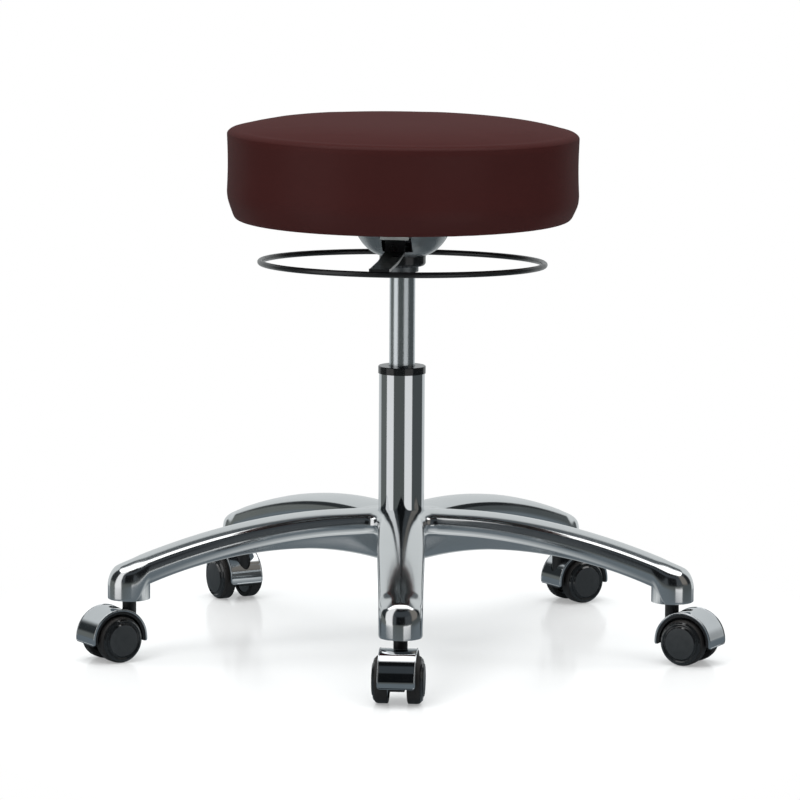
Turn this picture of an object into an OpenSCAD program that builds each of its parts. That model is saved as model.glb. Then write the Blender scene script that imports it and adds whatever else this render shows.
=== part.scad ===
// Height-adjustable stool: a round padded seat on a gas lift, worked by a ring
// lever, on a five-arm base with twin-wheel casters. The column's axis is Z and
// the floor is the XY plane. +X is to the sitter's right in the usual view from -Y.

/* [Seat] */
// Radius of the seat over its straight side
seat_r = 191.4; // [170:0.5:200]
// Height of the underside of the seat at the top of its travel
seat_base_z = 468; // [466:0.5:480]
// Height of the straight side above the underside, where the top edge starts to round
seat_side_h = 89.4; // [70:0.5:110]
// Radius of the rounded lower edge of the cushion
seat_low_r = 26.6; // [18:0.2:30]
// Radius of the rounded top edge of the cushion
seat_top_r = 8; // [5:0.5:14]
// Rise of the crown over the top edge
crown_h = 14; // [6:0.5:24]
// How far the side draws in at its middle
side_draw = 0.9; // [0:0.1:3]
// Thickness of the vinyl cover
cover_t = 1.2; // [0.8:0.1:2]
// Width of the cover's hem that is turned under the board
hem_w = 18; // [10:1:30]
// Thickness of the plywood board
board_t = 12; // [9:0.5:18]
// Thickness of the dust cover under the board
dust_cover_t = 0.8; // [0.5:0.1:1.2]

/* [Mount dish] */
// Radius of the dish's flange
flange_r = 80; // [76:0.5:95]
// Thickness of the pressed steel
dish_t = 2.2; // [1.8:0.1:3]
// Radius of the flat bottom of the dish
dish_floor_r = 26.6; // [26:0.2:30]
// Height of the dish from its floor to the top of its flange
dish_h = 38.6; // [38:0.2:42]
// Radius of the circle that the four mount screws stand on
screw_circle_r = 72; // [70:0.5:74]
// Radius of a mount screw's shank
screw_r = 3; // [2.5:0.1:3.5]
// Half the width of the windows that the lever passes through
window_half_w = 16.5; // [14:0.5:18]
// Radius of the black collar under the dish
collar_r = 25.3; // [22:0.1:26]
// Height of the black collar
collar_h = 12.9; // [10:0.1:16]
// Outer radius of the taper socket
socket_r = 17.4; // [17:0.1:19]

/* [Ring lever] */
// Radius of the ring to the middle of its wire
ring_r = 154.8; // [140:0.5:165]
// Radius of the ring's wire
ring_wire_r = 3.15; // [2.5:0.05:4]
// Height of the middle of the ring
ring_z = 420; // [416:0.5:424]
// Width of the flat strap
strap_w = 22; // [16:0.5:26]
// Thickness of the flat strap
strap_t = 3; // [2:0.1:3.4]
// Turn of the strap away from the front, in degrees
strap_turn = 9; // [0:0.5:15]
// How far the whole lever tips up at the front, in degrees
lever_tilt = 2; // [1.6:0.1:2.2]

/* [Gas lift] */
// Radius of the outer tube
tube_r = 25; // [24:0.5:26]
// Wall of the outer tube
tube_wall = 1.5; // [1.2:0.1:2]
// Height of the top of the tube's cap
cap_top_z = 307.4; // [300:0.5:310]
// Height of the cap
cap_h = 8; // [6:0.5:10]
// Radius of the sliding cylinder
cyl_r = 14; // [13:0.1:14.5]
// Wall of the sliding cylinder
cyl_wall = 1.5; // [1.2:0.1:2]
// Length of the sliding cylinder
cyl_len = 235; // [225:1:240]
// Radius of the piston rod
rod_r = 5; // [4.5:0.1:6]
// Radius of the release pin
pin_r = 3; // [2.5:0.1:3.5]

/* [Base] */
// Radius from the column's axis to each caster stem
stem_circle_r = 308; // [280:1:330]
// Height of the middle of the hub's top
hub_top_z = 151.4; // [148:0.2:156]
// Half the width of an arm over its rolled sides
arm_half_w = 25.5; // [24:0.1:27]
// Radius of the rounded end of an arm
arm_end_r = 23.2; // [22:0.1:24]
// Height of the top of an arm over its caster stem
arm_end_top_z = 106.6; // [102:0.2:112]
// Height of the lower edge of an arm's rounded end
arm_end_z = 66; // [65:0.2:70]
// Height of the rolled side under the top of an arm, at the hub
roll_h = 22.5; // [20:0.5:26]
// Highest point of the arch under an arm
arch_z = 114; // [110:0.5:118]
// Wall of the cast arm
arm_wall = 4.2; // [3.5:0.1:5]
// How far the machined face of a stem boss stands below the arm's end
boss_proud = 0.6; // [0.3:0.1:1]

/* [Casters] */
// Radius of a wheel over its tread
wheel_r = 25; // [22:0.5:26]
// Distance between the two wheels of a caster
wheel_gap = 20.5; // [19:0.5:23]
// Width of a wheel from its inner face to the rim of its cap
wheel_w = 14.4; // [12:0.2:16]
// Bulge of a wheel's cap past its rim
cap_bulge = 3.2; // [1:0.1:4]
// Distance from the swivel axis to the axle
trail = 21.8; // [20:0.2:24]
// Outer radius of the hood
hood_r = 32.5; // [31.5:0.1:34]
// Width of the hood
hood_w = 39.8; // [36:0.2:44]
// Thickness of the hood
hood_t = 1.6; // [1.2:0.1:2]
// Height of the hood's lower edge
hood_low_z = 20.5; // [19:0.5:23]
// Radius of the neck round the stem
neck_r = 7.5; // [7:0.1:8]
// Radius of the caster stem
stem_r = 5.5; // [5:0.1:5.8]
// Length of the stem inside the arm
stem_in_arm = 22; // [18:0.5:24]
// Radius of the axle
axle_r = 3; // [2.5:0.1:3.5]

/* [Hidden] */
CASTERS = ["front", "right", "back_right", "back_left", "left"];
CASTER_PARTS = ["core", "hood", "axle", "left_wheel", "left_tread", "right_wheel", "right_tread"];
$fn = 64;

// Clearances: a running fit, a press or wrapped fit, a soft or loose fit, and a safe overrun for cuts
run_fit = 0.05;
press_fit = 0.03;
soft_fit = 0.3;
over = 1;

// Where the five arms point, and how far each caster has swung from straight outward, in degrees
arm_count = len(CASTERS);
arm_step = 360 / arm_count;
first_arm = -90;
caster_swings = [-4.9, -9.7, -22, -7, 14.4];

function mix(a, b, t) = a + (b - a) * t;
function clamp01(t) = max(0, min(1, t));
function smooth(t) = let (u = clamp01(t)) u * u * (3 - 2 * u);
function arc_points(cx, cy, r, a0, a1, steps) =
    [for (i = [0:steps]) let (a = mix(a0, a1, i / steps)) [cx + r * cos(a), cy + r * sin(a)]];

// The base's arm, in its own frame: r runs outward along the arm and o across it
half_step = arm_step / 2;
arm_flat_r = 0.24 * stem_circle_r;
arm_fall = hub_top_z - arm_end_top_z;
arm_fall_power = 1.9;
arm_narrow_from_r = 0.49 * stem_circle_r;
arm_round_from_r = 0.75 * stem_circle_r;
roll_end_h = 1.16 * roll_h;
arch_r = 0.415 * stem_circle_r;
arch_hub_r = 0.117 * stem_circle_r;
arch_hub_drop = 0.63 * roll_h;
arch_end_drop = 1.27 * roll_h;
boss_blend = 0.055 * stem_circle_r;
boss_r = arm_end_r - 1.2 * boss_proud;
boss_low_z = arm_end_z - boss_proud;
nose_drop = 0.78 * arm_end_r;
nose_power = 3.85;
recess = 0.6;
web_step = 0.8;
// Half section of an arm, from the middle of the top over the ridge and round the rolled side
roll_w_shares = [0, 0.45, 0.78, 0.90, 0.98, 1.00, 0.97, 0.90];
roll_h_shares = [0, 0.03, 0.09, 0.15, 0.31, 0.55, 0.82, 1.00];
// The same points where the side runs on down into the boss
end_w_shares = [0, 0.45, 0.78, 0.90, 0.98, 1.00, 1.00, 0.99];
end_h_shares = [0, 0.05, 0.15, 0.25, 0.43, 0.66, 0.86, 1.00];
web_w_share = 0.82;
cavity_draft_share = 0.92;
end_dish_shares = [0.25, 0.5, 0.75, 1];
rolls = len(roll_w_shares);
halves = rolls + 4;
ring_n = 2 * (halves - 1);
// Stations along an arm, as shares of the way from the valley to the stem, and then round the end
arm_shares = [0.08, 0.17, 0.27, 0.37, 0.47, 0.57, 0.67, 0.76, 0.84, 0.90, 0.945, 0.975, 1];
end_angles = [25, 50, 70, 84];
stations = len(arm_shares) + len(end_angles);

function arm_top(r) =
    hub_top_z - arm_fall * pow(max(0, (r - arm_flat_r) / (stem_circle_r - arm_flat_r)), arm_fall_power);
function arm_w(r) = r > stem_circle_r
    ? sqrt(pow(arm_end_r, 2) - pow(r - stem_circle_r, 2))
    : mix(arm_half_w, arm_end_r, smooth((r - arm_narrow_from_r) / (stem_circle_r - arm_narrow_from_r)));
function roll_at(r) = mix(roll_h, roll_end_h, clamp01(r / stem_circle_r));
function boss_t(r) = smooth((r - (stem_circle_r - boss_blend)) / boss_blend);
function arch(r) = r < arch_r
    ? arch_z - arch_hub_drop * pow((arch_r - r) / (arch_r - arch_hub_r), 2)
    : arch_z - arch_end_drop * pow((r - arch_r) / (stem_circle_r - arm_end_r - arch_r), 2);
function roll_low(r) = mix(arm_top(r) - roll_at(r), arm_end_z, boss_t(r));
function web_low(r) = mix(min(arch(r), roll_low(r) - web_step), arm_end_z, boss_t(r));
function cavity_t(r) = smooth((r - 0.18 * stem_circle_r) / (0.08 * stem_circle_r))
    * (1 - smooth((r - 0.80 * stem_circle_r) / (0.08 * stem_circle_r)));
function cavity_top(r) = mix(web_low(r) + recess, arm_top(r) - arm_wall - recess, cavity_t(r))
    - recess * boss_t(r) * (1 - cavity_t(r));
// How far the rounded end has dropped at a share q of its radius
function nose_fall(q) = nose_drop * (1 - sqrt(max(0, 1 - pow(q, nose_power))));
function h_share(j, r) = mix(roll_h_shares[j], end_h_shares[j],
    smooth((r - arm_round_from_r) / (stem_circle_r - arm_round_from_r)));
function w_share(j, r) =
    j < rolls ? mix(roll_w_shares[j], end_w_shares[j], boss_t(r))
    : j == rolls ? web_w_share
    : j == halves - 1 ? 0
    : (web_w_share - arm_wall / arm_half_w) * (j == rolls + 1 ? 1 : cavity_draft_share);
function roll_z(j, r) =
    let (past = max(0, r - stem_circle_r), o = w_share(j, r) * arm_w(r))
    let (q = sqrt(past * past + o * o) / arm_end_r, t = clamp01(1.6 * past / arm_end_r))
    let (side = arm_top(r) - h_share(j, r) * (arm_top(r) - roll_low(r)))
    min(side, mix(side, arm_top(r) - nose_fall(q), t));
function point_z(j, r) = j < rolls ? roll_z(j, r)
    : (j >= rolls + 2 ? cavity_top(r) : web_low(r)) + recess * end_dish_shares[j - rolls] * boss_t(r);
function loop_j(p) = p < halves ? p : ring_n - p;
function loop_side(p) = p < halves ? -1 : 1;
function station_r(i, start) = i <= len(arm_shares)
    ? mix(start, stem_circle_r, arm_shares[i - 1])
    : stem_circle_r + arm_end_r * sin(end_angles[i - len(arm_shares) - 1]);
function arm_point(k, r, o, z) = let (a = first_arm + k * arm_step)
    [r * cos(a) - o * sin(a), r * sin(a) + o * cos(a), z];
function valley_r(j) = w_share(j, 0) * arm_half_w / tan(half_step);
// Point numbers: the two on the axis, then the valleys' points, then the arms' rings
function valley_index(k, j) = 2 + ((k + arm_count) % arm_count) * (halves - 2) + j - 1;
function arm_index(k, i, p) =
    let (j = loop_j(p % ring_n))
    i > 0 ? 2 + arm_count * (halves - 2) + (k * stations + i - 1) * ring_n + p % ring_n
    : j == 0 ? 0
    : j == halves - 1 ? 1
    : valley_index(loop_side(p % ring_n) > 0 ? k : k - 1, j);
star_points = concat(
    [[0, 0, arm_top(0)], [0, 0, cavity_top(0)]],
    [for (k = [0:arm_count - 1]) for (j = [1:halves - 2]) let (r = valley_r(j))
        arm_point(k, r, r * tan(half_step), point_z(j, r))],
    [for (k = [0:arm_count - 1]) for (i = [1:stations]) for (p = [0:ring_n - 1])
        let (j = loop_j(p), r = station_r(i, valley_r(j)))
        arm_point(k, r, loop_side(p) * w_share(j, r) * arm_w(r), point_z(j, r))]);
star_faces = concat(
    [for (k = [0:arm_count - 1]) for (i = [0:stations - 1]) for (p = [0:ring_n - 1])
        each [[arm_index(k, i, p), arm_index(k, i + 1, p), arm_index(k, i + 1, p + 1)],
              [arm_index(k, i, p), arm_index(k, i + 1, p + 1), arm_index(k, i, p + 1)]]],
    [for (k = [0:arm_count - 1]) for (p = [1:halves - 1])
        each [if (p < halves - 1) [arm_index(k, stations, p), arm_index(k, stations, p - 1),
                                   arm_index(k, stations, ring_n - p)],
              if (p > 1) [arm_index(k, stations, p - 1), arm_index(k, stations, ring_n - p + 1),
                          arm_index(k, stations, ring_n - p)]]]);

// Levels of the gas lift, from the bottom of the tube up
tube_low_z = 0.58 * hub_top_z;
tube_floor_t = 2 * tube_wall;
tube_taper_z = hub_top_z - tube_wall;
tube_taper = 0.04 * tube_r;
tube_end_z = cap_top_z - cap_h / 2;
cap_lap = 1;
cap_r = tube_r + cap_lap;
cap_chamfer = 0.6;
bearing_t = 4;
bearing_r = 11;
race_t = bearing_t / 4;
bearing_z = tube_low_z + tube_floor_t;
shoulder_z = bearing_z + bearing_t;
rod_neck_r = 0.8 * rod_r;
clip_t = 1.2;
clip_r = 7;
clip_groove_r = 0.8 * rod_neck_r;
clip_mouth = 1.6 * clip_groove_r;
clip_z = tube_low_z - soft_fit - clip_t;
rod_low_z = clip_z - clip_t;
bump_t = 10;
bump_r = 10.5;
gland_t = 6;
piston_t = 12;

// Levels of the seat, from its underside down to the cylinder
hem_t = cover_t;
board_z = seat_base_z + hem_t + soft_fit;
dust_cover_z = board_z - dust_cover_t;
flange_z = dust_cover_z;
dish_floor_z = flange_z - dish_h;
collar_z = dish_floor_z - collar_h;
socket_low = 6;
socket_low_z = collar_z - socket_low;
socket_above_floor = 10.6;
cyl_above_socket = 2.3;
cyl_top_z = dish_floor_z + socket_above_floor + cyl_above_socket;
cyl_low_z = cyl_top_z - cyl_len;
cyl_taper_h = cyl_top_z - collar_z;
cyl_taper = 0.05 * cyl_r;
cyl_end_t = 5;
pin_head_r = 1.5 * pin_r;
pin_head_t = 1.3;
pin_dome = 0.8;
pin_in_cyl = 8;

// The lever: the strap's path as radius and height over the ring's middle
fulcrum_r = 50;
lever_lift_z = 29.8;
strap_drop_z = 14.9;
strap_joggle = 3;
strap_mid_r = 100;
strap_mid_z = 8.2;
strap_low_z = ring_wire_r + strap_t / 2 + run_fit;
strap_high_z = ring_z + lever_lift_z;
strap_path = [
    [0, lever_lift_z],
    [fulcrum_r + strap_t / 6, lever_lift_z],
    [fulcrum_r + strap_t / 6 + strap_joggle, strap_drop_z],
    [strap_mid_r, strap_mid_z],
    [ring_r - 2 * ring_wire_r, strap_low_z],
    [ring_r + ring_wire_r, strap_low_z]];
pin_top_z = strap_high_z - strap_t / 2 - soft_fit;
// A half-round rib across the strap's top rolls under the lip in the front window
lip_gap = 0.15;
rib_r = 1.2;
fulcrum_z = strap_high_z + strap_t / 2 + fulcrum_r * sin(lever_tilt);
lip_z = fulcrum_z + rib_r + lip_gap;
lip_t = 3.5;
lip_h = 5.1;
lip_leg_t = 2;
lip_out = 7.6;
lip_lap = 0.5;
lip_half_w = window_half_w + lip_lap;
window_sill_h = 7;
window_low_z = dish_floor_z + window_sill_h;
window_top_z = lip_z + lip_h - lip_leg_t;
// The dish's outside between its floor and its flange, as shares of its run outward and of its rise
dish_run_shares = [0, 0.08, 0.16, 0.42, 0.61, 0.80, 1];
dish_rise_shares = [0, 0.05, 0.13, 0.38, 0.57, 0.80, 1];
flange_w = 15;
dish_top_r = flange_r - flange_w;

// The seat's outline
hem_r = seat_r - seat_low_r;
edge_z = seat_base_z + seat_side_h;
low_edge_z = seat_base_z + seat_low_r;
board_r = hem_r;
screw_head_r = 1.8 * screw_r;
screw_head_t = 1.1 * screw_r;
screw_tip = 1.5;
crown_from_angle = 82;
nut_r = 1.4 * screw_r;
nut_flange_r = 3 * screw_r;
nut_flange_t = 1.5;

// Casters, in a frame whose Z is the swivel axis and whose X points to the axle
stem_flange_t = 0.8;
stem_flange_edge = 0.5;
stem_flange_r = neck_r - stem_flange_edge;
neck_top_z = boss_low_z - stem_flange_t - 2 * run_fit;
stem_top_z = boss_low_z + stem_in_arm;
stem_low_z = 0.53 * neck_top_z;
stem_bore_z = stem_low_z - soft_fit;
grip_ring_h = 4;
grip_ring_z = stem_top_z - 2 * grip_ring_h;
grip_groove_r = 0.88 * stem_r;
grip_ring_split = 1.6;
grip_ring_t = 0.85;
grip_ring_r = grip_groove_r + press_fit + grip_ring_t;
stem_bore_r = grip_ring_r + run_fit;
plate_gap = 1.75;
plate_w = wheel_gap - 2 * plate_gap;
fender_r = hood_r - hood_t - press_fit;
fender_t = 3.2;
fender_inset = 0.8;
fender_w = hood_w - 2 * fender_inset;
axle_below = 7.5;
hood_corner_r = 3.5;
bead_h = 0.6;
bead_w = 1.4;
neck_slot_gap = 1;
neck_slot_r = neck_r + neck_slot_gap;
neck_slot_end = 20;
groove_h = 0.8;
groove_d = 0.5;
groove_angle = 29.5;
axle_short = 1;
axle_half = wheel_gap / 2 + wheel_w - axle_short;
hub_proud = 1.3;
hub_r = 2.4 * axle_r;
tread_t = 4.8;
tread_flat_share = 0.66;
tread_edge = 0.6;
cap_rim_step = 0.9;
cap_r_shares = [1, 0.86, 0.82, 0.66, 0.63, 0.32, 0];
cap_bulge_shares = [0, 0.30, 0.24, 0.62, 0.56, 0.90, 1];

function caster_angle(k) = first_arm + k * arm_step;

module at_stem(k) {
    rotate(caster_angle(k)) translate([stem_circle_r, 0, 0]) children();
}

module at_caster(k) {
    at_stem(k) rotate(caster_swings[k]) children();
}

module at_axle() {
    translate([trail, 0, wheel_r]) rotate([90, 0, 0]) children();
}

module pipe(low_z, top_z, outer, inner) {
    translate([0, 0, low_z]) difference() {
        cylinder(r = outer, h = top_z - low_z);
        translate([0, 0, -over]) cylinder(r = inner, h = top_z - low_z + 2 * over);
    }
}

// A cone frustum's bore or shaft between two levels, run on a little past both
module taper(low_z, top_z, low_r, top_r, past = 0) {
    slope = (top_r - low_r) / (top_z - low_z);
    translate([0, 0, low_z - past])
        cylinder(r1 = low_r - slope * past, r2 = top_r + slope * past, h = top_z - low_z + 2 * past);
}

// Base

module star_base() {
    color("gainsboro") difference() {
        union() {
            polyhedron(points = star_points, faces = star_faces, convexity = 6);
            // The boss is turned so that its seam misses the middle of the arm
            for (k = [0:arm_count - 1])
                at_stem(k) rotate(half_step / 2) translate([0, 0, boss_low_z])
                    cylinder(r = boss_r, h = (arm_end_top_z - boss_low_z) / 2);
        }
        taper(tube_low_z, tube_taper_z, tube_r - tube_taper + press_fit, tube_r + press_fit, tube_low_z / 4);
        for (k = [0:arm_count - 1])
            at_stem(k) translate([0, 0, boss_low_z - over])
                cylinder(r = stem_bore_r, h = stem_in_arm + over + soft_fit);
    }
}

module caster_stem() {
    difference() {
        union() {
            translate([0, 0, stem_low_z]) cylinder(r = stem_r, h = stem_top_z - stem_low_z);
            translate([0, 0, boss_low_z - stem_flange_t]) cylinder(r = stem_flange_r, h = stem_flange_t);
        }
        pipe(grip_ring_z - press_fit, grip_ring_z + grip_ring_h + press_fit, stem_r + over, grip_groove_r);
    }
}

module caster_stems() {
    color("silver") for (k = [0:arm_count - 1]) at_stem(k) caster_stem();
}

module grip_ring() {
    difference() {
        pipe(grip_ring_z, grip_ring_z + grip_ring_h, grip_ring_r, grip_groove_r + press_fit);
        translate([0, -grip_ring_split / 2, grip_ring_z - over])
            cube([stem_r + over, grip_ring_split, grip_ring_h + 2 * over]);
    }
}

module grip_rings() {
    color("dimgray") for (k = [0:arm_count - 1]) at_stem(k) grip_ring();
}

// Gas lift

module outer_tube() {
    color("lightgray") difference() {
        union() {
            taper(tube_low_z, tube_taper_z, tube_r - tube_taper, tube_r);
            translate([0, 0, tube_taper_z]) cylinder(r = tube_r, h = tube_end_z - tube_taper_z);
        }
        translate([0, 0, bearing_z]) cylinder(r = tube_r - tube_taper - tube_wall, h = tube_end_z);
        translate([0, 0, tube_low_z - over]) cylinder(r = rod_neck_r + run_fit, h = tube_floor_t + 2 * over);
    }
}

module tube_cap() {
    color("black") rotate_extrude() polygon([
        [cyl_r + soft_fit, tube_end_z],
        [tube_r + press_fit, tube_end_z],
        [tube_r + press_fit, cap_top_z - cap_h],
        [cap_r, cap_top_z - cap_h],
        [cap_r, cap_top_z - cap_chamfer],
        [cap_r - cap_chamfer, cap_top_z],
        [cyl_r + soft_fit + cap_chamfer, cap_top_z],
        [cyl_r + soft_fit, cap_top_z - cap_chamfer]]);
}

module guide_bush() {
    color("ivory") pipe(cyl_low_z + gland_t, tube_end_z - press_fit,
        tube_r - tube_taper - tube_wall - press_fit, cyl_r + run_fit);
}

module thrust_bearing() {
    inner = rod_neck_r + run_fit;
    color("slategray") {
        pipe(bearing_z, bearing_z + race_t, bearing_r, inner);
        pipe(bearing_z + race_t, shoulder_z - race_t, bearing_r - race_t, inner + race_t);
        pipe(shoulder_z - race_t, shoulder_z, bearing_r, inner);
    }
}

module piston_rod() {
    color("silver") difference() {
        union() {
            translate([0, 0, rod_low_z]) cylinder(r = rod_neck_r, h = shoulder_z - rod_low_z);
            translate([0, 0, shoulder_z])
                cylinder(r = rod_r, h = cyl_low_z + gland_t + piston_t - shoulder_z);
        }
        pipe(clip_z - press_fit, clip_z + clip_t + press_fit, rod_r, clip_groove_r);
    }
}

module piston() {
    color("dimgray") pipe(cyl_low_z + gland_t + soft_fit, cyl_low_z + gland_t + piston_t,
        cyl_r - cyl_wall - run_fit, rod_r + press_fit);
}

module bump_stop() {
    color("black") pipe(shoulder_z + press_fit, shoulder_z + bump_t, bump_r, rod_r + press_fit);
}

module retaining_clip() {
    color("dimgray") difference() {
        pipe(clip_z, clip_z + clip_t, clip_r, clip_groove_r + press_fit);
        translate([0, -clip_mouth / 2, clip_z - over])
            cube([clip_r + over, clip_mouth, clip_t + 2 * over]);
    }
}

module pressure_cylinder() {
    straight_z = cyl_top_z - cyl_taper_h;
    color("silver") difference() {
        union() {
            translate([0, 0, cyl_low_z]) cylinder(r = cyl_r, h = straight_z - cyl_low_z);
            taper(straight_z, cyl_top_z, cyl_r, cyl_r - cyl_taper);
        }
        translate([0, 0, cyl_low_z - over])
            cylinder(r = cyl_r - cyl_wall, h = cyl_len - cyl_end_t + over);
        translate([0, 0, cyl_low_z]) cylinder(r = pin_r + run_fit, h = cyl_len + over);
    }
}

module rod_gland() {
    color("black") pipe(cyl_low_z, cyl_low_z + gland_t, cyl_r - cyl_wall - press_fit, rod_r + run_fit);
}

// The pin's head is domed, so that the strap rolls on it as it tips
module release_pin() {
    pin_low_z = cyl_top_z - cyl_end_t - pin_in_cyl;
    color("gray") rotate_extrude() polygon([
        [0, pin_low_z],
        [pin_r, pin_low_z],
        [pin_r, pin_top_z - pin_head_t],
        [pin_head_r, pin_top_z - pin_head_t],
        [pin_head_r, pin_top_z - pin_dome],
        [pin_head_r / 3, pin_top_z],
        [0, pin_top_z]]);
}

// Seat mount

module taper_socket() {
    color("gray") difference() {
        translate([0, 0, socket_low_z])
            cylinder(r = socket_r, h = dish_floor_z + socket_above_floor - socket_low_z);
        translate([0, 0, socket_low_z - over]) cylinder(r = cyl_r + press_fit, h = socket_low + 2 * over);
        taper(collar_z, cyl_top_z, cyl_r + press_fit, cyl_r - cyl_taper + press_fit, press_fit);
    }
}

module collar() {
    round_r = collar_h / 3;
    inner = socket_r + press_fit;
    color("black") rotate_extrude() polygon(concat(
        [[inner, dish_floor_z], [inner, collar_z]],
        arc_points(collar_r - round_r, collar_z + round_r, round_r, -90, 0, 8),
        [[collar_r, dish_floor_z]]));
}

module dish_outline() {
    run = dish_top_r - dish_floor_r;
    rise = flange_z - dish_t - dish_floor_z;
    under = [for (i = [0:len(dish_run_shares) - 1])
        [dish_floor_r + run * dish_run_shares[i], dish_floor_z + rise * dish_rise_shares[i]]];
    lean = dish_t * sin(45);
    polygon(concat(
        [[socket_r + press_fit, dish_floor_z]],
        under,
        [[flange_r, flange_z - dish_t], [flange_r, flange_z], [dish_top_r - lean, flange_z]],
        [for (i = [len(under) - 2:-1:1]) under[i] + [-lean, lean]],
        [[dish_floor_r - lean, dish_floor_z + dish_t], [socket_r + press_fit, dish_floor_z + dish_t]]));
}

module lever_window() {
    translate([fulcrum_r / 2, -window_half_w, window_low_z])
        cube([fulcrum_r, 2 * window_half_w, window_top_z - window_low_z]);
}

module lever_lip() {
    translate([fulcrum_r - lip_t, -lip_half_w, lip_z]) cube([lip_t, 2 * lip_half_w, lip_h]);
    translate([fulcrum_r - lip_t, -lip_half_w, lip_z + lip_h - lip_leg_t])
        cube([lip_t + lip_out, 2 * lip_half_w, lip_leg_t]);
}

module strap_ends() {
    for (a = [0, 180]) rotate(-90 - strap_turn + a) children();
}

module at_screws() {
    for (a = [45:90:315]) rotate(a) translate([screw_circle_r, 0, 0]) children();
}

module mount_dish() {
    color("darkgray") difference() {
        union() {
            difference() {
                rotate_extrude() dish_outline();
                strap_ends() lever_window();
            }
            strap_ends() lever_lip();
        }
        at_screws() translate([0, 0, flange_z - dish_t - over])
            cylinder(r = screw_r + soft_fit, h = dish_t + 2 * over);
    }
}

module mount_screws() {
    head_z = flange_z - dish_t - screw_head_t;
    color("silver") at_screws() {
        translate([0, 0, head_z]) difference() {
            cylinder(r = screw_head_r, h = screw_head_t);
            translate([0, 0, -over]) cylinder(r = screw_r, h = screw_head_t / 2 + over, $fn = 6);
        }
        translate([0, 0, head_z + screw_head_t])
            cylinder(r = screw_r, h = board_z + board_t - screw_tip - head_z - screw_head_t);
    }
}

module tee_nuts() {
    top_z = board_z + board_t;
    color("gray") at_screws() difference() {
        union() {
            translate([0, 0, board_z + board_t / 4]) cylinder(r = nut_r, h = board_t * 3 / 4);
            translate([0, 0, top_z - nut_flange_t]) cylinder(r = nut_flange_r, h = nut_flange_t);
        }
        translate([0, 0, board_z - over]) cylinder(r = screw_r + press_fit, h = board_t + 2 * over);
    }
}

// Seat

module seat_board() {
    top_z = board_z + board_t;
    color("burlywood") difference() {
        translate([0, 0, board_z]) cylinder(r = board_r, h = board_t);
        at_screws() translate([0, 0, board_z - over]) cylinder(r = nut_r + run_fit, h = board_t + 2 * over);
        at_screws() translate([0, 0, top_z - nut_flange_t - run_fit])
            cylinder(r = nut_flange_r + run_fit, h = nut_flange_t + over);
    }
}

// The cushion's outline drawn in by a distance, from its lower edge up to the middle of its crown
function seat_outline(inset, steps) = let (
        crown_r = seat_r - seat_top_r,
        low = arc_points(hem_r, low_edge_z, seat_low_r - inset, -90, 0, steps),
        side = [for (i = [1:3]) let (s = i / 4)
            [seat_r - inset - side_draw * sin(180 * s), mix(low_edge_z, edge_z, s)]],
        top = arc_points(crown_r, edge_z, seat_top_r - inset, 0, crown_from_angle, steps / 2),
        crown = [for (i = [1:steps]) let (s = 1 - i / steps)
            [s * crown_r, edge_z + seat_top_r - inset + crown_h * (1 - s * s)]])
    concat(low, side, top, crown);

module foam_pad() {
    inset = cover_t + soft_fit;
    board_top = board_z + board_t;
    color("khaki") difference() {
        rotate_extrude($fn = 96) polygon(concat([[0, seat_base_z + inset]], seat_outline(inset, 10)));
        translate([0, 0, seat_base_z - over])
            cylinder(r = board_r + soft_fit, h = board_top - seat_base_z + over);
    }
}

module seat_cover() {
    inside = seat_outline(cover_t, 10);
    outside = seat_outline(0, 10);
    last = len(inside) - 1;
    color([0.26, 0.14, 0.15]) rotate_extrude($fn = 96) polygon(concat(
        [[hem_r - hem_w, seat_base_z]],
        outside,
        [for (i = [last:-1:0]) inside[i]],
        [[hem_r - hem_w, seat_base_z + hem_t]]));
}

module dust_cover() {
    color("black") difference() {
        translate([0, 0, dust_cover_z]) cylinder(r = hem_r - hem_w - soft_fit, h = dust_cover_t);
        at_screws() translate([0, 0, dust_cover_z - over])
            cylinder(r = screw_r + soft_fit, h = dust_cover_t + 2 * over);
    }
}

// Lever

module lever_frame() {
    translate([0, 0, strap_high_z]) rotate(-strap_turn) rotate([-lever_tilt, 0, 0])
        translate([0, 0, -strap_high_z]) children();
}

module lever_ring() {
    color("black") lever_frame() translate([0, 0, ring_z])
        rotate_extrude($fn = 128) translate([ring_r, 0, 0]) circle(r = ring_wire_r);
}

// The strap's side view: its path and the mirror image, thickened square to each run
module strap_outline() {
    n = len(strap_path);
    path = concat([for (i = [n - 1:-1:1]) [-strap_path[i][0], strap_path[i][1]]], strap_path);
    last = len(path) - 1;
    function normal(i) = let (d = path[min(last, i + 1)] - path[min(last - 1, i)]) [-d[1], d[0]] / norm(d);
    function miter(i) = i == 0 || i == last ? normal(i)
        : let (m = normal(i - 1) + normal(i)) 2 * m / (m * m);
    polygon(concat(
        [for (i = [0:last]) path[i] + miter(i) * strap_t / 2],
        [for (i = [last:-1:0]) path[i] - miter(i) * strap_t / 2]));
}

module lever_strap() {
    color("black") {
        lever_frame() translate([-strap_w / 2, 0, ring_z])
            rotate([90, 0, 90]) linear_extrude(strap_w) strap_outline();
        rotate(-strap_turn) translate([-strap_w / 2, -fulcrum_r, fulcrum_z])
            rotate([0, 90, 0]) cylinder(r = rib_r, h = strap_w);
    }
}

// Casters

// A slice across the axle, open below the hood's lower edge
module hood_ring(outer, inner, low_z) {
    difference() {
        circle(r = outer);
        circle(r = inner);
        translate([-2 * outer, low_z - wheel_r - 2 * outer]) square([4 * outer, 2 * outer]);
    }
}

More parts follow.
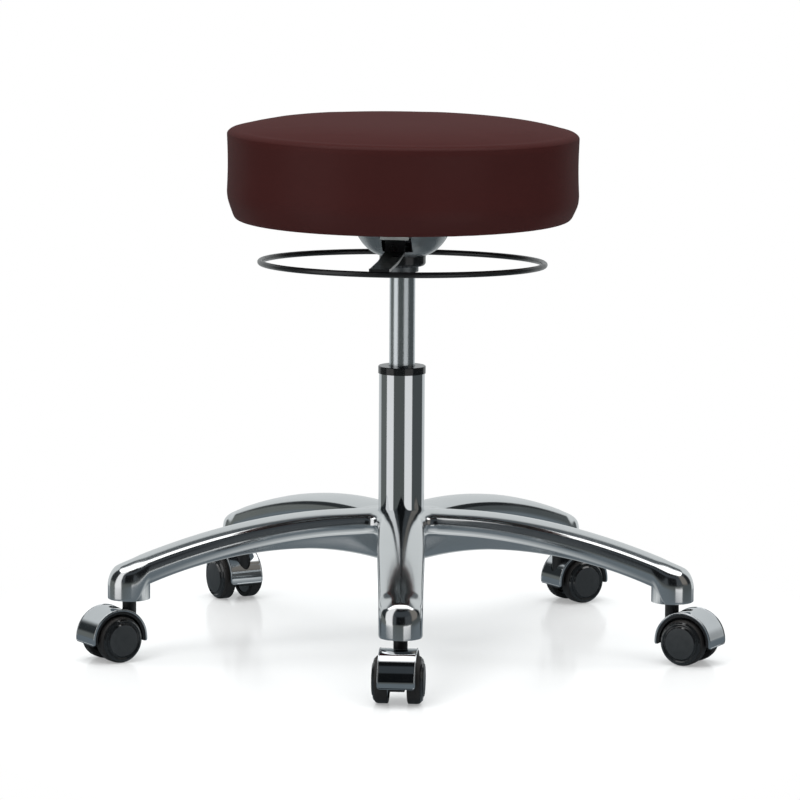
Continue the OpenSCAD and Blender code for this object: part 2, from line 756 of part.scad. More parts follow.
module caster_core() {
    color([0.09, 0.09, 0.1]) difference() {
        union() {
            translate([0, 0, stem_bore_z - neck_r / 2])
                cylinder(r = neck_r, h = neck_top_z - stem_bore_z + neck_r / 2);
            at_axle() translate([0, 0, -plate_w / 2]) linear_extrude(plate_w)
                hood_ring(fender_r - fender_t / 2, 0, wheel_r - axle_below);
            at_axle() translate([0, 0, -fender_w / 2]) linear_extrude(fender_w)
                hood_ring(fender_r, fender_r - fender_t, hood_low_z + hood_t);
        }
        translate([0, 0, stem_bore_z]) cylinder(r = stem_r + run_fit, h = neck_top_z);
        at_axle() translate([0, 0, -hood_w]) cylinder(r = axle_r + press_fit, h = 2 * hood_w);
    }
}

// The hood's face seen along its own length, with its lower corners rounded
module hood_face() {
    c = hood_corner_r;
    half = hood_w / 2;
    top = wheel_r + hood_r + bead_h + over;
    translate([-half, hood_low_z + c]) square([hood_w, top - hood_low_z - c]);
    translate([-half + c, hood_low_z]) square([hood_w - 2 * c, 2 * c]);
    for (s = [-1, 1]) translate([s * (half - c), hood_low_z + c]) circle(r = c);
}

module caster_hood() {
    reach = hood_r + bead_h + over;
    slot_run = neck_slot_end - neck_slot_r / 2;
    slot_z = wheel_r + axle_below;
    color("lightgray") difference() {
        intersection() {
            union() {
                at_axle() translate([0, 0, -hood_w / 2]) linear_extrude(hood_w)
                    hood_ring(hood_r, hood_r - hood_t, 0);
                for (s = [-1, 1]) at_axle() translate([0, 0, s * (hood_w - bead_w) / 2 - bead_w / 2])
                    linear_extrude(bead_w) hood_ring(hood_r + bead_h, hood_r - hood_t, 0);
            }
            translate([trail - reach, 0, 0]) rotate([90, 0, 90]) linear_extrude(2 * reach) hood_face();
        }
        for (x = [0, slot_run]) translate([x, 0, slot_z]) cylinder(r = neck_slot_r, h = hood_r);
        translate([0, -neck_slot_r, slot_z]) cube([slot_run, 2 * neck_slot_r, hood_r]);
        at_axle() rotate(180 - groove_angle)
            translate([hood_r - groove_d, -groove_h / 2, -hood_w / 2 + 2 * bead_w])
            cube([groove_d + over, groove_h, hood_w - 4 * bead_w]);
    }
}

module caster_axle() {
    color("silver") at_axle() translate([0, 0, -axle_half]) cylinder(r = axle_r, h = 2 * axle_half);
}

// Wheels are turned about the axle: side 1 is the left one, seen outward along X, and -1 the right one
module wheel_place(side) {
    at_axle() rotate([side > 0 ? 180 : 0, 0, 0]) translate([0, 0, wheel_gap / 2]) children();
}

module wheel(side) {
    rim = wheel_r - tread_t;
    color([0.05, 0.05, 0.055]) wheel_place(side) difference() {
        rotate_extrude() polygon(concat(
            [[0, -hub_proud], [hub_r, -hub_proud], [hub_r, cap_rim_step], [rim, cap_rim_step],
             [rim, wheel_w - cap_rim_step / 2]],
            [for (i = [0:len(cap_r_shares) - 1])
                [(rim - cap_rim_step) * cap_r_shares[i], wheel_w + cap_bulge * cap_bulge_shares[i]]]));
        translate([0, 0, -hub_proud - over])
            cylinder(r = axle_r + run_fit, h = wheel_w + hub_proud - cap_rim_step / 2 + over);
    }
}

module tread(side) {
    rim = wheel_r - tread_t + press_fit;
    flat = wheel_w * tread_flat_share;
    round_w = wheel_w - cap_rim_step / 2 - flat;
    round_h = tread_t - tread_edge;
    color([0.2, 0.19, 0.19]) wheel_place(side) rotate_extrude() polygon(concat(
        [[rim, 0], [wheel_r - tread_edge, 0], [wheel_r, tread_edge]],
        [for (i = [0:8]) let (a = 90 * i / 8) [wheel_r - round_h * (1 - cos(a)), flat + round_w * sin(a)]],
        [[rim, flat + round_w]]));
}

star_base();
caster_stems();
grip_rings();
outer_tube();
tube_cap();
guide_bush();
thrust_bearing();
piston_rod();
piston();
bump_stop();
retaining_clip();
pressure_cylinder();
rod_gland();
release_pin();
taper_socket();
collar();
mount_dish();
mount_screws();
tee_nuts();
seat_board();
foam_pad();
seat_cover();
dust_cover();
lever_ring();
lever_strap();
for (k = [0:arm_count - 1]) {
    at_caster(k) caster_core();
    at_caster(k) caster_hood();
    at_caster(k) caster_axle();
    at_caster(k) wheel(1);
    at_caster(k) tread(1);
    at_caster(k) wheel(-1);
    at_caster(k) tread(-1);
}
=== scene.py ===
# Height-adjustable stool: a round vinyl seat on a gas lift, worked by a ring lever, over a
# five-arm polished base on twin-wheel casters. It stands on Z = 0 and is seen from -Y.
import math

import bmesh
import bpy
import numpy as np
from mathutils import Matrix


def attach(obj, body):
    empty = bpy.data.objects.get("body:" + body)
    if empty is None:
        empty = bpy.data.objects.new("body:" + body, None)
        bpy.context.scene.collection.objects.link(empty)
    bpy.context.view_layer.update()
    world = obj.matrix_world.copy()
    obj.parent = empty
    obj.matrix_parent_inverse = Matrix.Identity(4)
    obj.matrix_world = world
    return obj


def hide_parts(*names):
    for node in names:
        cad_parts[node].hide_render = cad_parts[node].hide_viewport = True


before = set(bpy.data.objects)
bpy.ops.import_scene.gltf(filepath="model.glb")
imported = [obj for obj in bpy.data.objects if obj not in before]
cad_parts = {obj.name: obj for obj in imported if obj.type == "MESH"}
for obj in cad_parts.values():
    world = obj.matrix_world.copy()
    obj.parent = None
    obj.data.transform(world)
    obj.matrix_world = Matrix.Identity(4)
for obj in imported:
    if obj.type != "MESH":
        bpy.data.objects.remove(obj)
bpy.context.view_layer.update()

# Camera. It stands 5.5 m in front of the stool with a long lens, half a metre higher than the
# seat, and looks down by 8.28 degrees. The photograph leans by a third of a degree.
camera = bpy.data.objects.new("camera", bpy.data.cameras.new("camera"))
bpy.context.collection.objects.link(camera)
camera.data.lens = 228.98
camera.location = (-0.00196, -5.500, 1.0697)
camera.rotation_mode = "ZYX"
camera.rotation_euler = (math.radians(81.72), 0, math.radians(0.33))
bpy.context.scene.camera = camera
bpy.context.scene.view_settings.view_transform = "Standard"


# Studio floor. A pale satin sheet, which takes the stool's shadow and a blurred image of the
# casters, and which runs out to plain white away from the stool. In the bright metal the sheet is a
# painted reflection, a glow painted paler near the column and greyer further out, which ends 0.8 m out,
# where the dark studio takes over.
def srgb(code):
    """Linear colour of an sRGB hex code: each channel goes through the sRGB curve."""
    part = [int(code[i:i + 2], 16) / 255 for i in (1, 3, 5)]
    return tuple(p / 12.92 if p <= 0.04045 else ((p + 0.055) / 1.055) ** 2.4 for p in part) + (1.0,)


def add(tree, kind, sockets=None, **settings):
    """Adds a node: settings are its own properties, and each socket takes a value or another's
    output."""
    node = tree.nodes.new(kind)
    for name, value in settings.items():
        setattr(node, name, value)
    for name, value in (sockets or {}).items():
        if isinstance(value, bpy.types.NodeSocket):
            tree.links.new(value, node.inputs[name])
        else:
            node.inputs[name].default_value = value
    return node


def grid_mesh(name, points, close_rows=False, close_columns=False, sharp=35):
    """Mesh object from a grid of points in millimetres, shape (rows, columns, 3): each four
    neighbours make a face. Points that fall together are merged and the faces turned outward."""
    rows, columns = points.shape[:2]
    index = np.arange(rows * columns).reshape(rows, columns)
    if close_rows:
        index = np.vstack([index, index[:1]])
    if close_columns:
        index = np.hstack([index, index[:, :1]])
    quads = np.stack([index[:-1, :-1], index[1:, :-1], index[1:, 1:], index[:-1, 1:]], axis=-1)
    return mesh_object(name, points.reshape(-1, 3), quads.reshape(-1, 4), sharp)


def mesh_object(name, points, faces, sharp=35, finish=None):
    """Mesh object from points in millimetres and faces, closed up at points nearer than a micron.
    Edges sharper than the angle stay crisp, and finish numbers each face's material."""
    mesh = bpy.data.meshes.new(name)
    mesh.from_pydata((np.asarray(points) * 0.001).tolist(), [], np.asarray(faces).tolist())
    if finish is not None:
        mesh.materials.append(None)
        mesh.materials.append(None)
        mesh.polygons.foreach_set("material_index", np.asarray(finish, dtype=np.int32))
    shell = bmesh.new()
    shell.from_mesh(mesh)
    bmesh.ops.remove_doubles(shell, verts=shell.verts, dist=1e-6)
    bmesh.ops.dissolve_degenerate(shell, edges=shell.edges, dist=1e-7)
    bmesh.ops.recalc_face_normals(shell, faces=shell.faces)
    shell.to_mesh(mesh)
    shell.free()
    mesh.shade_smooth()
    mesh.set_sharp_from_angle(angle=math.radians(sharp))
    made = bpy.data.objects.new(name, mesh)
    bpy.context.collection.objects.link(made)
    return made


floor_reach = 3000
ends = np.array([-1.0, 1.0])
floor = grid_mesh("floor", floor_reach * np.stack([*np.meshgrid(ends, ends, indexing="ij"),
                                                   np.zeros((2, 2))], axis=-1))

# Satin lacquer, rolled: a soft image of what stands on it, and no grain that shows from here. The
# satin fills an ellipse round the casters, its middle a little in front, and eases out to white.
satin_half_x, satin_half_y, satin_shift = 0.50, 0.80, 0.13
floor_sheet = bpy.data.materials.new("pale_satin_floor")
floor_sheet.use_nodes = True
tree = floor_sheet.node_tree
satin = tree.nodes["Principled BSDF"]
satin.inputs["Base Color"].default_value = srgb("#FAFBFB")
satin.inputs["Roughness"].default_value = 0.15
satin.inputs["Specular IOR Level"].default_value = 0.42
place = add(tree, "ShaderNodeTexCoord").outputs["Object"]
spread = add(tree, "ShaderNodeMapping", {"Vector": place, "Location": (0, satin_shift, 0),
                                         "Scale": (1 / satin_half_x, 1 / satin_half_y, 1)})
away = add(tree, "ShaderNodeVectorMath", {0: spread.outputs["Vector"]}, operation="LENGTH")
edge = add(tree, "ShaderNodeMapRange", {"Value": away.outputs["Value"], "From Min": 0.62,
                                        "From Max": 1.05, "To Min": 0.3},
           interpolation_type="SMOOTHSTEP")
ray = add(tree, "ShaderNodeLightPath")
seen = add(tree, "ShaderNodeMath", {0: ray.outputs["Is Camera Ray"],
                                    1: ray.outputs["Is Transmission Ray"]}, operation="MAXIMUM")
share = add(tree, "ShaderNodeMath", {0: edge.outputs["Result"], 1: seen.outputs["Value"]},
            operation="MULTIPLY")
white = add(tree, "ShaderNodeEmission", {"Color": (1, 1, 1, 1), "Strength": 1.0})
shown = add(tree, "ShaderNodeMixShader", {"Fac": share.outputs["Value"], 1: satin.outputs["BSDF"],
                                          2: white.outputs["Emission"]})

# What bright metal sees of the floor is a painted reflection, a glow that is not lit: pale close to the
# column, painted mid grey further out, and then nothing.
out = add(tree, "ShaderNodeVectorMath", {0: place}, operation="LENGTH").outputs["Value"]
sheet_end = add(tree, "ShaderNodeMapRange", {"Value": out, "From Min": 0.50, "From Max": 0.82},
                interpolation_type="SMOOTHSTEP")
near = add(tree, "ShaderNodeMapRange", {"Value": out, "From Min": 0.04, "From Max": 0.27})
# Painted reflection tone: pale near the column, painted darker grey further out.
sheet = add(tree, "ShaderNodeMix", {0: near.outputs["Result"], 6: srgb("#E9ECEC"), 7: srgb("#6C757B")},
            data_type="RGBA")
# The floor's painted reflection is an emission in that tone, which glossy rays see in place of the lit
# floor.
painted_floor_glow = add(tree, "ShaderNodeEmission", {"Color": sheet.outputs[2], "Strength": 1.0})
clear = add(tree, "ShaderNodeBsdfTransparent")
# Past the sheet's end the painted reflection gives way to nothing.
painted_floor_reflection = add(tree, "ShaderNodeMixShader", {"Fac": sheet_end.outputs["Result"],
                                             1: painted_floor_glow.outputs["Emission"], 2: clear.outputs["BSDF"]})
both = add(tree, "ShaderNodeMixShader", {"Fac": ray.outputs["Is Glossy Ray"],
                                         1: shown.outputs["Shader"], 2: painted_floor_reflection.outputs["Shader"]})
tree.links.new(both.outputs["Shader"], tree.nodes["Material Output"].inputs["Surface"])
floor.data.materials.append(floor_sheet)

# Studio light. A white backdrop, and for the bright metal a dark studio with a tall soft box at the
# front left, a low white card at the front right, a soft box overhead and a pale wall behind.
world = bpy.data.worlds.new("studio")
bpy.context.scene.world = world
world.use_nodes = True
tree = world.node_tree
way = add(tree, "ShaderNodeSeparateXYZ", {"Vector": add(tree, "ShaderNodeTexCoord").outputs["Generated"]})
toward = add(tree, "ShaderNodeMath", {0: way.outputs["Y"], 1: -1.0}, operation="MULTIPLY")
angles = {"bearing": add(tree, "ShaderNodeMath", {0: way.outputs["X"], 1: toward.outputs["Value"]},
                         operation="ARCTAN2").outputs["Value"],
          "height": add(tree, "ShaderNodeMath", {0: way.outputs["Z"]},
                        operation="ARCSINE").outputs["Value"]}


def span(angle, start, end, soft):
    """Share that is 1 between two angles in degrees and goes smoothly to 0 outside them."""
    shares = [add(tree, "ShaderNodeMapRange", {
        "Value": angles[angle], "From Min": math.radians(limit - side * soft / 2),
        "From Max": math.radians(limit + side * soft / 2)},
        interpolation_type="SMOOTHSTEP").outputs["Result"] for limit, side in ((start, 1), (end, -1))]
    return add(tree, "ShaderNodeMath", {0: shares[0], 1: shares[1]}, operation="MULTIPLY").outputs["Value"]


# Each stretch of the studio: bearings from the front towards +X, heights over the horizon, the
# softness of its edges, and its tone.
room = srgb("#121416")
for bearings, heights, soft, tone in (((-400, 400), (-100, -1), 4, "#5C605F"),
                                      ((-400, -84), (-100, 6), 6, "#6C706E"),
                                      ((57, 400), (-100, 6), 6, "#515657"),
                                      ((-400, -84), (6, 34), 8, "#2E3234"),
                                      ((57, 400), (6, 34), 8, "#26292B"),
                                      ((-400, 400), (33, 60), 6, "#3C4145"),
                                      ((57, 96), (6, 58), 8, "#7E7A75"),
                                      ((22, 57), (0, 33), 6, "#474B4E"),
                                      ((-57, -22), (0, 33), 6, "#474B4E"),
                                      ((-81, -41), (-100, 72), 4, "#FFFFFF"),
                                      ((15, 54), (-100, -6), 4, "#FFFFFF"),
                                      ((-400, -126), (-100, 43), 8, "#D5D9DA"),
                                      ((126, 400), (-100, 43), 8, "#D5D9DA"),
                                      ((-400, -100), (45, 62), 6, "#555B5F"),
                                      ((100, 400), (45, 62), 6, "#555B5F")):
    where = add(tree, "ShaderNodeMath", {0: span("bearing", *bearings, soft),
                                         1: span("height", *heights, soft)}, operation="MULTIPLY")
    room = add(tree, "ShaderNodeMix", {0: where.outputs["Value"], 6: room, 7: srgb(tone)},
               data_type="RGBA").outputs[2]

# The box overhead is flat, so its edges run by how far a ray goes along Y or X for each metre up,
# which span takes as an angle. It is twice as bright as white paper.
above = add(tree, "ShaderNodeMath", {0: way.outputs["Z"], 1: 0.2}, operation="MAXIMUM")
for angle, axis in (("fore", "Y"), ("side", "X")):
    angles[angle] = add(tree, "ShaderNodeMath", {0: way.outputs[axis], 1: above.outputs["Value"]},
                        operation="DIVIDE").outputs["Value"]
box = add(tree, "ShaderNodeMath", {0: span("fore", -8, 26, 12), 1: span("side", -50, 50, 5)},
          operation="MULTIPLY")
room = add(tree, "ShaderNodeMix", {0: box.outputs["Value"], 6: room, 7: (2, 2, 2, 1)},
           data_type="RGBA").outputs[2]

# Camera and transmission rays see the white backdrop and glossy rays the studio. What lights the
# stool besides the three lamps, which bright metal doesn't see, is an even pale surround.
ray = add(tree, "ShaderNodeLightPath")
studio = add(tree, "ShaderNodeBackground", {"Color": room, "Strength": 1.0})
even = add(tree, "ShaderNodeBackground", {"Color": srgb("#E9ECED"), "Strength": 0.62})
backdrop = add(tree, "ShaderNodeBackground", {"Color": (1, 1, 1, 1), "Strength": 1.0})
shine = add(tree, "ShaderNodeMixShader", {"Fac": ray.outputs["Is Glossy Ray"],
                                          1: even.outputs["Background"],
                                          2: studio.outputs["Background"]})
seen = add(tree, "ShaderNodeMath", {0: ray.outputs["Is Camera Ray"],
                                    1: ray.outputs["Is Transmission Ray"]}, operation="MAXIMUM")
both = add(tree, "ShaderNodeMixShader", {"Fac": seen.outputs["Value"], 1: shine.outputs["Shader"],
                                         2: backdrop.outputs["Background"]})
tree.links.new(both.outputs["Shader"], tree.nodes["World Output"].inputs["Surface"])

for name, spot, turn, size, power in (("key_light", (-1.5, -2.0, 2.6), (46, 0, -37), 1.6, 44),
                                      ("fill_light", (2.0, -1.6, 1.8), (58, 0, 51), 1.4, 14),
                                      ("top_light", (0.0, 0.3, 2.8), (0, 0, 0), 3.2, 98)):
    lamp = bpy.data.objects.new(name, bpy.data.lights.new(name, "AREA"))
    lamp.data.size = size
    lamp.data.energy = power
    lamp.location = spot
    lamp.rotation_euler = [math.radians(angle) for angle in turn]
    lamp.visible_glossy = False
    bpy.context.collection.objects.link(lamp)

# Star base. One aluminium die casting with five arms, rolled over at their sides and open below.
# The top, the rolls and the noses are polished; the webs and the caster bosses stay as cast.
stem_circle, arm_half_w, arm_end_r, arm_wall = 308.0, 25.5, 23.2, 4.2
hub_top_z, arm_end_top_z, arm_end_z = 151.4, 106.6, 66.0
roll_h, roll_growth, arch_z, dish_in, web_below = 22.5, 1.16, 114.0, 0.6, 0.8
arm_turn, valley_turn = math.radians(36), math.radians(54)
ridge_fillet, web_fillet = 12.0, 5.0

# Distances out from the column: where an arm starts to fall, where it starts to narrow, the inner
# end and the crown of the arch below it, where the boss begins, and the hollow with its ramps.
fall_r, narrow_r, arch_start_r, arch_r, boss_r, hollow_ramp = (
    share * stem_circle for share in (0.24, 0.49, 0.117, 0.415, 0.945, 0.08))
hollow_start_r, hollow_end_r = 2.25 * hollow_ramp, 10 * hollow_ramp
fall_power, arch_in_drop, arch_out_drop = 1.9, 0.63, 1.27
nose_drop, nose_power, nose_onset, nose_blend = 0.78, 3.85, 1.6, 0.05


def ease(share):
    """Smooth step: three times the square less twice the cube of the share, held between 0 and 1."""
    share = np.clip(share, 0, 1)
    return share * share * (3 - 2 * share)


def blend_to(a, b, share):
    """Straight mix of two values by a share."""
    return a + (b - a) * share


def through(points, steps):
    """Curve through the points, with steps parts to each stretch: the cubic of each stretch leaves
    its points along the line between their neighbours (Catmull-Rom)."""
    points = np.asarray(points, float)
    ends = np.vstack([2 * points[0] - points[1], points, 2 * points[-1] - points[-2]])
    a, b, c, d = (ends[i:len(ends) - 3 + i][:, None] for i in range(4))
    t = (np.arange(steps) / steps)[None, :, None]
    curve = 0.5 * (2 * b + (c - a) * t + (2 * a - 5 * b + 4 * c - d) * t ** 2
                   + (3 * b - a - 3 * c + d) * t ** 3)
    return np.vstack([curve.reshape(-1, points.shape[1]), points[-1:]])


def arm_top(r):
    """Height of an arm's ridge line: level over the hub, then falling as a power of the way out."""
    out = np.clip((r - fall_r) / (stem_circle - fall_r), 0, None)
    return hub_top_z - (hub_top_z - arm_end_top_z) * out ** fall_power


def arm_width(r):
    """Half width: even near the hub, drawn in smoothly to the stem, and then a half circle."""
    nose = np.sqrt(np.clip(arm_end_r ** 2 - np.clip(r - stem_circle, 0, arm_end_r) ** 2, 0, None))
    return np.where(r > stem_circle, nose,
                    blend_to(arm_half_w, arm_end_r, ease((r - narrow_r) / (stem_circle - narrow_r))))


def boss_share(r):
    """0 along the arm and 1 over the boss, eased over a few millimetres before the stem."""
    return ease((r - boss_r) / (stem_circle - boss_r))


def arm_levels(r):
    """Heights of the top, the roll's lower edge, the web's lower edge and the cavity's roof. The web
    falls from the arch's crown as the square of the way in or out, and the roof rises to one wall
    below the top where the arm is hollow."""
    top = arm_top(r)
    inner = ((arch_r - r) / (arch_r - arch_start_r)) ** 2
    outer = ((r - arch_r) / (stem_circle - arm_end_r - arch_r)) ** 2
    arch = arch_z - roll_h * np.where(r < arch_r, arch_in_drop * inner, arch_out_drop * outer)
    boss = boss_share(r)
    roll_down = roll_h * blend_to(1, roll_growth, np.clip(r / stem_circle, 0, 1))
    roll = blend_to(top - roll_down, arm_end_z, boss)
    web = blend_to(np.minimum(arch, roll - web_below), arm_end_z, boss)
    hollow = ease((r - hollow_start_r) / hollow_ramp) * (1 - ease((r - hollow_end_r) / hollow_ramp))
    roof = blend_to(web + dish_in, top - arm_wall - dish_in, hollow) - dish_in * boss * (1 - hollow)
    return top, roll, web, roof


# Half section from the middle of the top over the ridge, round the roll, down the web and up into
# the hollow: width share, width share over the boss, and level from 0 at the top to 3 at the roof.
roll_line = through([(0, 0, 0), (0.25, 0.25, 0.02), (0.45, 0.45, 0.055), (0.64, 0.64, 0.108),
                     (0.78, 0.78, 0.162), (0.86, 0.86, 0.212), (0.91, 0.91, 0.262),
                     (0.95, 0.95, 0.333), (0.98, 0.98, 0.43), (0.996, 0.996, 0.53), (1, 1, 0.62),
                     (0.992, 1, 0.74), (0.972, 1, 0.84), (0.945, 1, 0.92), (0.908, 0.998, 0.975),
                     (0.870, 0.985, 1.0)], 3)
web_line = through([(0.870, 0.985, 1.0), (0.848, 0.96, 1.05), (0.840, 0.93, 1.18), (0.832, 0.88, 1.6),
                    (0.822, 0.84, 1.92), (0.805, 0.81, 2.0), (0.740, 0.74, 2.0), (0.672, 0.672, 2.0),
                    (0.655, 0.655, 2.06), (0.640, 0.64, 2.3), (0.610, 0.61, 2.85), (0.570, 0.57, 3.0),
                    (0.300, 0.30, 3.0), (0, 0, 3.0)], 2)
section = np.vstack([roll_line, web_line[1:]])
share_w, share_end, level = np.clip(section, 0, [1, 1, 3]).T
fillet = ridge_fillet * ease(share_w / 0.6) * (level <= 1) + (level > 1) * np.interp(
    share_w, [0, 0.3, 0.84, 0.87], [0, web_fillet, web_fillet, ridge_fillet])
fillet = np.maximum(fillet, 1e-4)


def arm_height(r, width):
    """Height of each section point at a distance out: by its level between the four heights, and over
    the nose no higher than a rounded end that falls as a superellipse of the way to the rim."""
    top, roll, web, roof = arm_levels(r)
    side = top - np.minimum(level, 1) * (top - roll)
    past = np.clip(r - stem_circle, 0, None)
    rim = np.clip(np.hypot(past, width) / arm_end_r, 0, 1)
    nose = top - nose_drop * arm_end_r * (1 - np.sqrt(np.clip(1 - rim ** nose_power, 0, None)))
    over = side - nose
    onset = np.clip(nose_onset * past / arm_end_r, 0, 1)
    side = side - onset * (over + np.sqrt(over ** 2 + nose_blend)) / 2
    below = np.where(level <= 2, blend_to(roll, web, level - 1), blend_to(web, roof, level - 2))
    return np.where(level <= 1, side, below)


# Each of the five strips runs in from one arm's tip, round the valley on a fillet, and out to the
# next tip. On the fillet the height follows the distance out, with its slope eased to nothing
# halfway. The steps along an arm are finer over its last stretch, before the nose.
fine_from = 0.93
corner_r = share_w * arm_half_w / math.tan(arm_turn)
touch_r = corner_r + fillet / math.tan(arm_turn)
shares = np.concatenate([np.linspace(0, fine_from, 42), np.linspace(fine_from, 1, 13)[1:]])[:, None]
nose_turn = np.radians(np.linspace(0, 90, 22)[1:])[:, None]
nose_r = np.broadcast_to(stem_circle + arm_end_r * np.sin(nose_turn), (len(nose_turn), len(level)))
out_r = np.vstack([blend_to(touch_r, stem_circle, shares), nose_r])
out_w = blend_to(share_w, share_end, boss_share(out_r)) * arm_width(out_r)
out_w[-1] = 0
half = np.stack([out_r * math.cos(arm_turn) + out_w * math.sin(arm_turn),
                 out_r * math.sin(arm_turn) - out_w * math.cos(arm_turn),
                 arm_height(out_r, out_w)], axis=-1)
lean = np.linspace(-1, 1, 15)[1:-1, None]
mid_r = touch_r - 0.5 * fillet * valley_turn * (1 - lean ** 2)
centre = (share_w * arm_half_w + fillet) / math.sin(arm_turn)
arc = np.stack([centre - fillet * np.cos(valley_turn * lean), fillet * np.sin(valley_turn * lean),
                arm_height(mid_r, share_w * arm_half_w)], axis=-1)
strip = np.vstack([half[::-1] * (1, -1, 1), arc, half])
turns = np.radians(-54 + 72 * np.arange(5))[:, None, None]
strips = np.stack([strip[..., 0] * np.cos(turns) - strip[..., 1] * np.sin(turns),
                   strip[..., 0] * np.sin(turns) + strip[..., 1] * np.cos(turns),
                   np.broadcast_to(strip[..., 2], (5,) + strip.shape[:2])], axis=-1)
rows, columns = strip.shape[:2]
index = np.arange(5 * rows * columns).reshape(5, rows, columns)
quads = np.stack([index[:, :-1, :-1], index[:, 1:, :-1], index[:, 1:, 1:], index[:, :-1, 1:]], axis=-1)
cast_face = np.broadcast_to(np.arange(columns - 1) >= len(roll_line) - 1, (5, rows - 1, columns - 1))
base = mesh_object("base_casting", strips.reshape(-1, 3), quads.reshape(-1, 4), 40, cast_face.ravel())


def round_bars(name, bars, steps=96):
    """Upright closed cylinders in one object, each given as x, y, lower height, upper height and
    radius: a ring of points at each end, with a wall between them and a cap on each."""
    turn = np.arange(steps) * 2 * np.pi / steps
    ring = np.stack([np.cos(turn), np.sin(turn)], axis=-1)
    x, y, low, top, radius = np.asarray(bars, float).T[..., None]
    plan = np.stack([x + radius * ring[:, 0], y + radius * ring[:, 1]], axis=-1)
    points = np.concatenate([
        np.concatenate([plan, np.broadcast_to(z[..., None], plan.shape[:2] + (1,))], axis=-1)
        for z in (low, top)], axis=1)
    start = (np.arange(len(bars)) * 2 * steps)[:, None]
    side = np.arange(steps)
    following = (side + 1) % steps
    walls = np.stack([side, following, following + steps, side + steps], axis=-1)
    sides = (start[..., None] + walls).reshape(-1, 4).tolist()
    caps = (start + side[::-1]).tolist() + (start + side + steps).tolist()
    mesh = bpy.data.meshes.new(name)
    mesh.from_pydata((points.reshape(-1, 3) * 0.001).tolist(), [], sides + caps)
    made = bpy.data.objects.new(name, mesh)
    bpy.context.collection.objects.link(made)
    return made


def carve(piece, *steps):
    """Joins solids to a piece or cuts them from it, in the order given, and removes them afterwards."""
    for tool, how in steps:
        change = piece.modifiers.new("carve", "BOOLEAN")
        change.solver = "EXACT"
        change.operation = how
        change.object = tool
    bpy.context.view_layer.update()
    old = piece.data
    carved = piece.evaluated_get(bpy.context.evaluated_depsgraph_get())
    piece.data = bpy.data.meshes.new_from_object(carved)
    piece.modifiers.clear()
    bpy.data.meshes.remove(old)
    for tool, how in steps:
        bpy.data.objects.remove(tool)


# Under each arm's end stands a faced boss, bored for the caster's stem. The column's bore goes through.
boss_low_z, boss_high_z, boss_face_r = 65.4, 86.0, 22.5
column_bore, column_bore_r = (40, 180), 25.03
stem_bore, stem_bore_r = (50, 88), 5.8
stem_turn = np.radians(-90 + 72 * np.arange(5))
stem_x, stem_y = stem_circle * np.cos(stem_turn), stem_circle * np.sin(stem_turn)
bosses = round_bars("bosses", [(x, y, boss_low_z, boss_high_z, boss_face_r) for x, y in zip(stem_x, stem_y)])
bosses.data.materials.append(None)
bosses.data.materials.append(None)
bosses.data.polygons.foreach_set("material_index", np.ones(len(bosses.data.polygons), dtype=np.int32))
bores = round_bars("bores", [(0, 0, *column_bore, column_bore_r)]
                   + [(x, y, *stem_bore, stem_bore_r) for x, y in zip(stem_x, stem_y)])
carve(base, (bosses, "UNION"), (bores, "DIFFERENCE"))
base.data.set_sharp_from_angle(angle=math.radians(40))
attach(base, "base")
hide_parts("star_base")


def metal(name, dark, light, rough, patch_mm, grain_mm, grain_depth_mm, bright=1.0):
    """Bare or plated metal: its tone and roughness wander between two values over patches, and a
    finer grain lifts the surface by a few microns. Patches and grain are as long as their sizes
    along X, Y and Z."""
    material = bpy.data.materials.new(name)
    material.use_nodes = True
    tree = material.node_tree
    shader = tree.nodes["Principled BSDF"]
    shader.inputs["Metallic"].default_value = bright
    place = add(tree, "ShaderNodeTexCoord").outputs["Object"]
    patches, grains = (add(tree, "ShaderNodeMapping", {
        "Vector": place, "Scale": [1000 / size for size in sizes]}).outputs["Vector"]
        for sizes in (patch_mm, grain_mm))
    patch = add(tree, "ShaderNodeTexNoise", {"Vector": patches, "Scale": 1.0, "Detail": 3.0})
    grain = add(tree, "ShaderNodeTexNoise", {"Vector": grains, "Scale": 1.0, "Detail": 2.0})
    tone = add(tree, "ShaderNodeMix", {0: patch.outputs["Fac"], 6: srgb(dark), 7: srgb(light)},
               data_type="RGBA")
    wear = add(tree, "ShaderNodeMapRange", {"Value": patch.outputs["Fac"], "From Min": 0.3,
                                            "From Max": 0.7, "To Min": rough[0], "To Max": rough[1]})
    lift = add(tree, "ShaderNodeBump", {"Height": grain.outputs["Fac"], "Strength": 1.0,
                                        "Distance": grain_depth_mm * 0.001})
    tree.links.new(tone.outputs[2], shader.inputs["Base Color"])
    tree.links.new(wear.outputs["Result"], shader.inputs["Roughness"])
    tree.links.new(lift.outputs["Normal"], shader.inputs["Normal"])
    return material


def dress(material, *names):
    """Gives a CAD node its material in each of its slots."""
    for name in names:
        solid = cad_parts[name]
        if not solid.material_slots:
            solid.data.materials.append(material)
        for slot in solid.material_slots:
            slot.material = material


# Die-cast aluminium. Polished, it is a mirror with a faint waviness from the mop, which bends the
# reflections. As cast, it is grey, satin and gritty.
base.data.materials.clear()
base.data.materials.append(metal("polished_aluminium", "#D9DBDC", "#E6E8E9", rough=(0.11, 0.17),
                                 patch_mm=(60, 60, 60), grain_mm=(7, 7, 7), grain_depth_mm=0.010))
base.data.materials.append(metal("as_cast_aluminium", "#828481", "#A4A6A2", rough=(0.34, 0.46),
                                 patch_mm=(3, 3, 60), grain_mm=(0.9, 0.9, 0.9), grain_depth_mm=0.05))

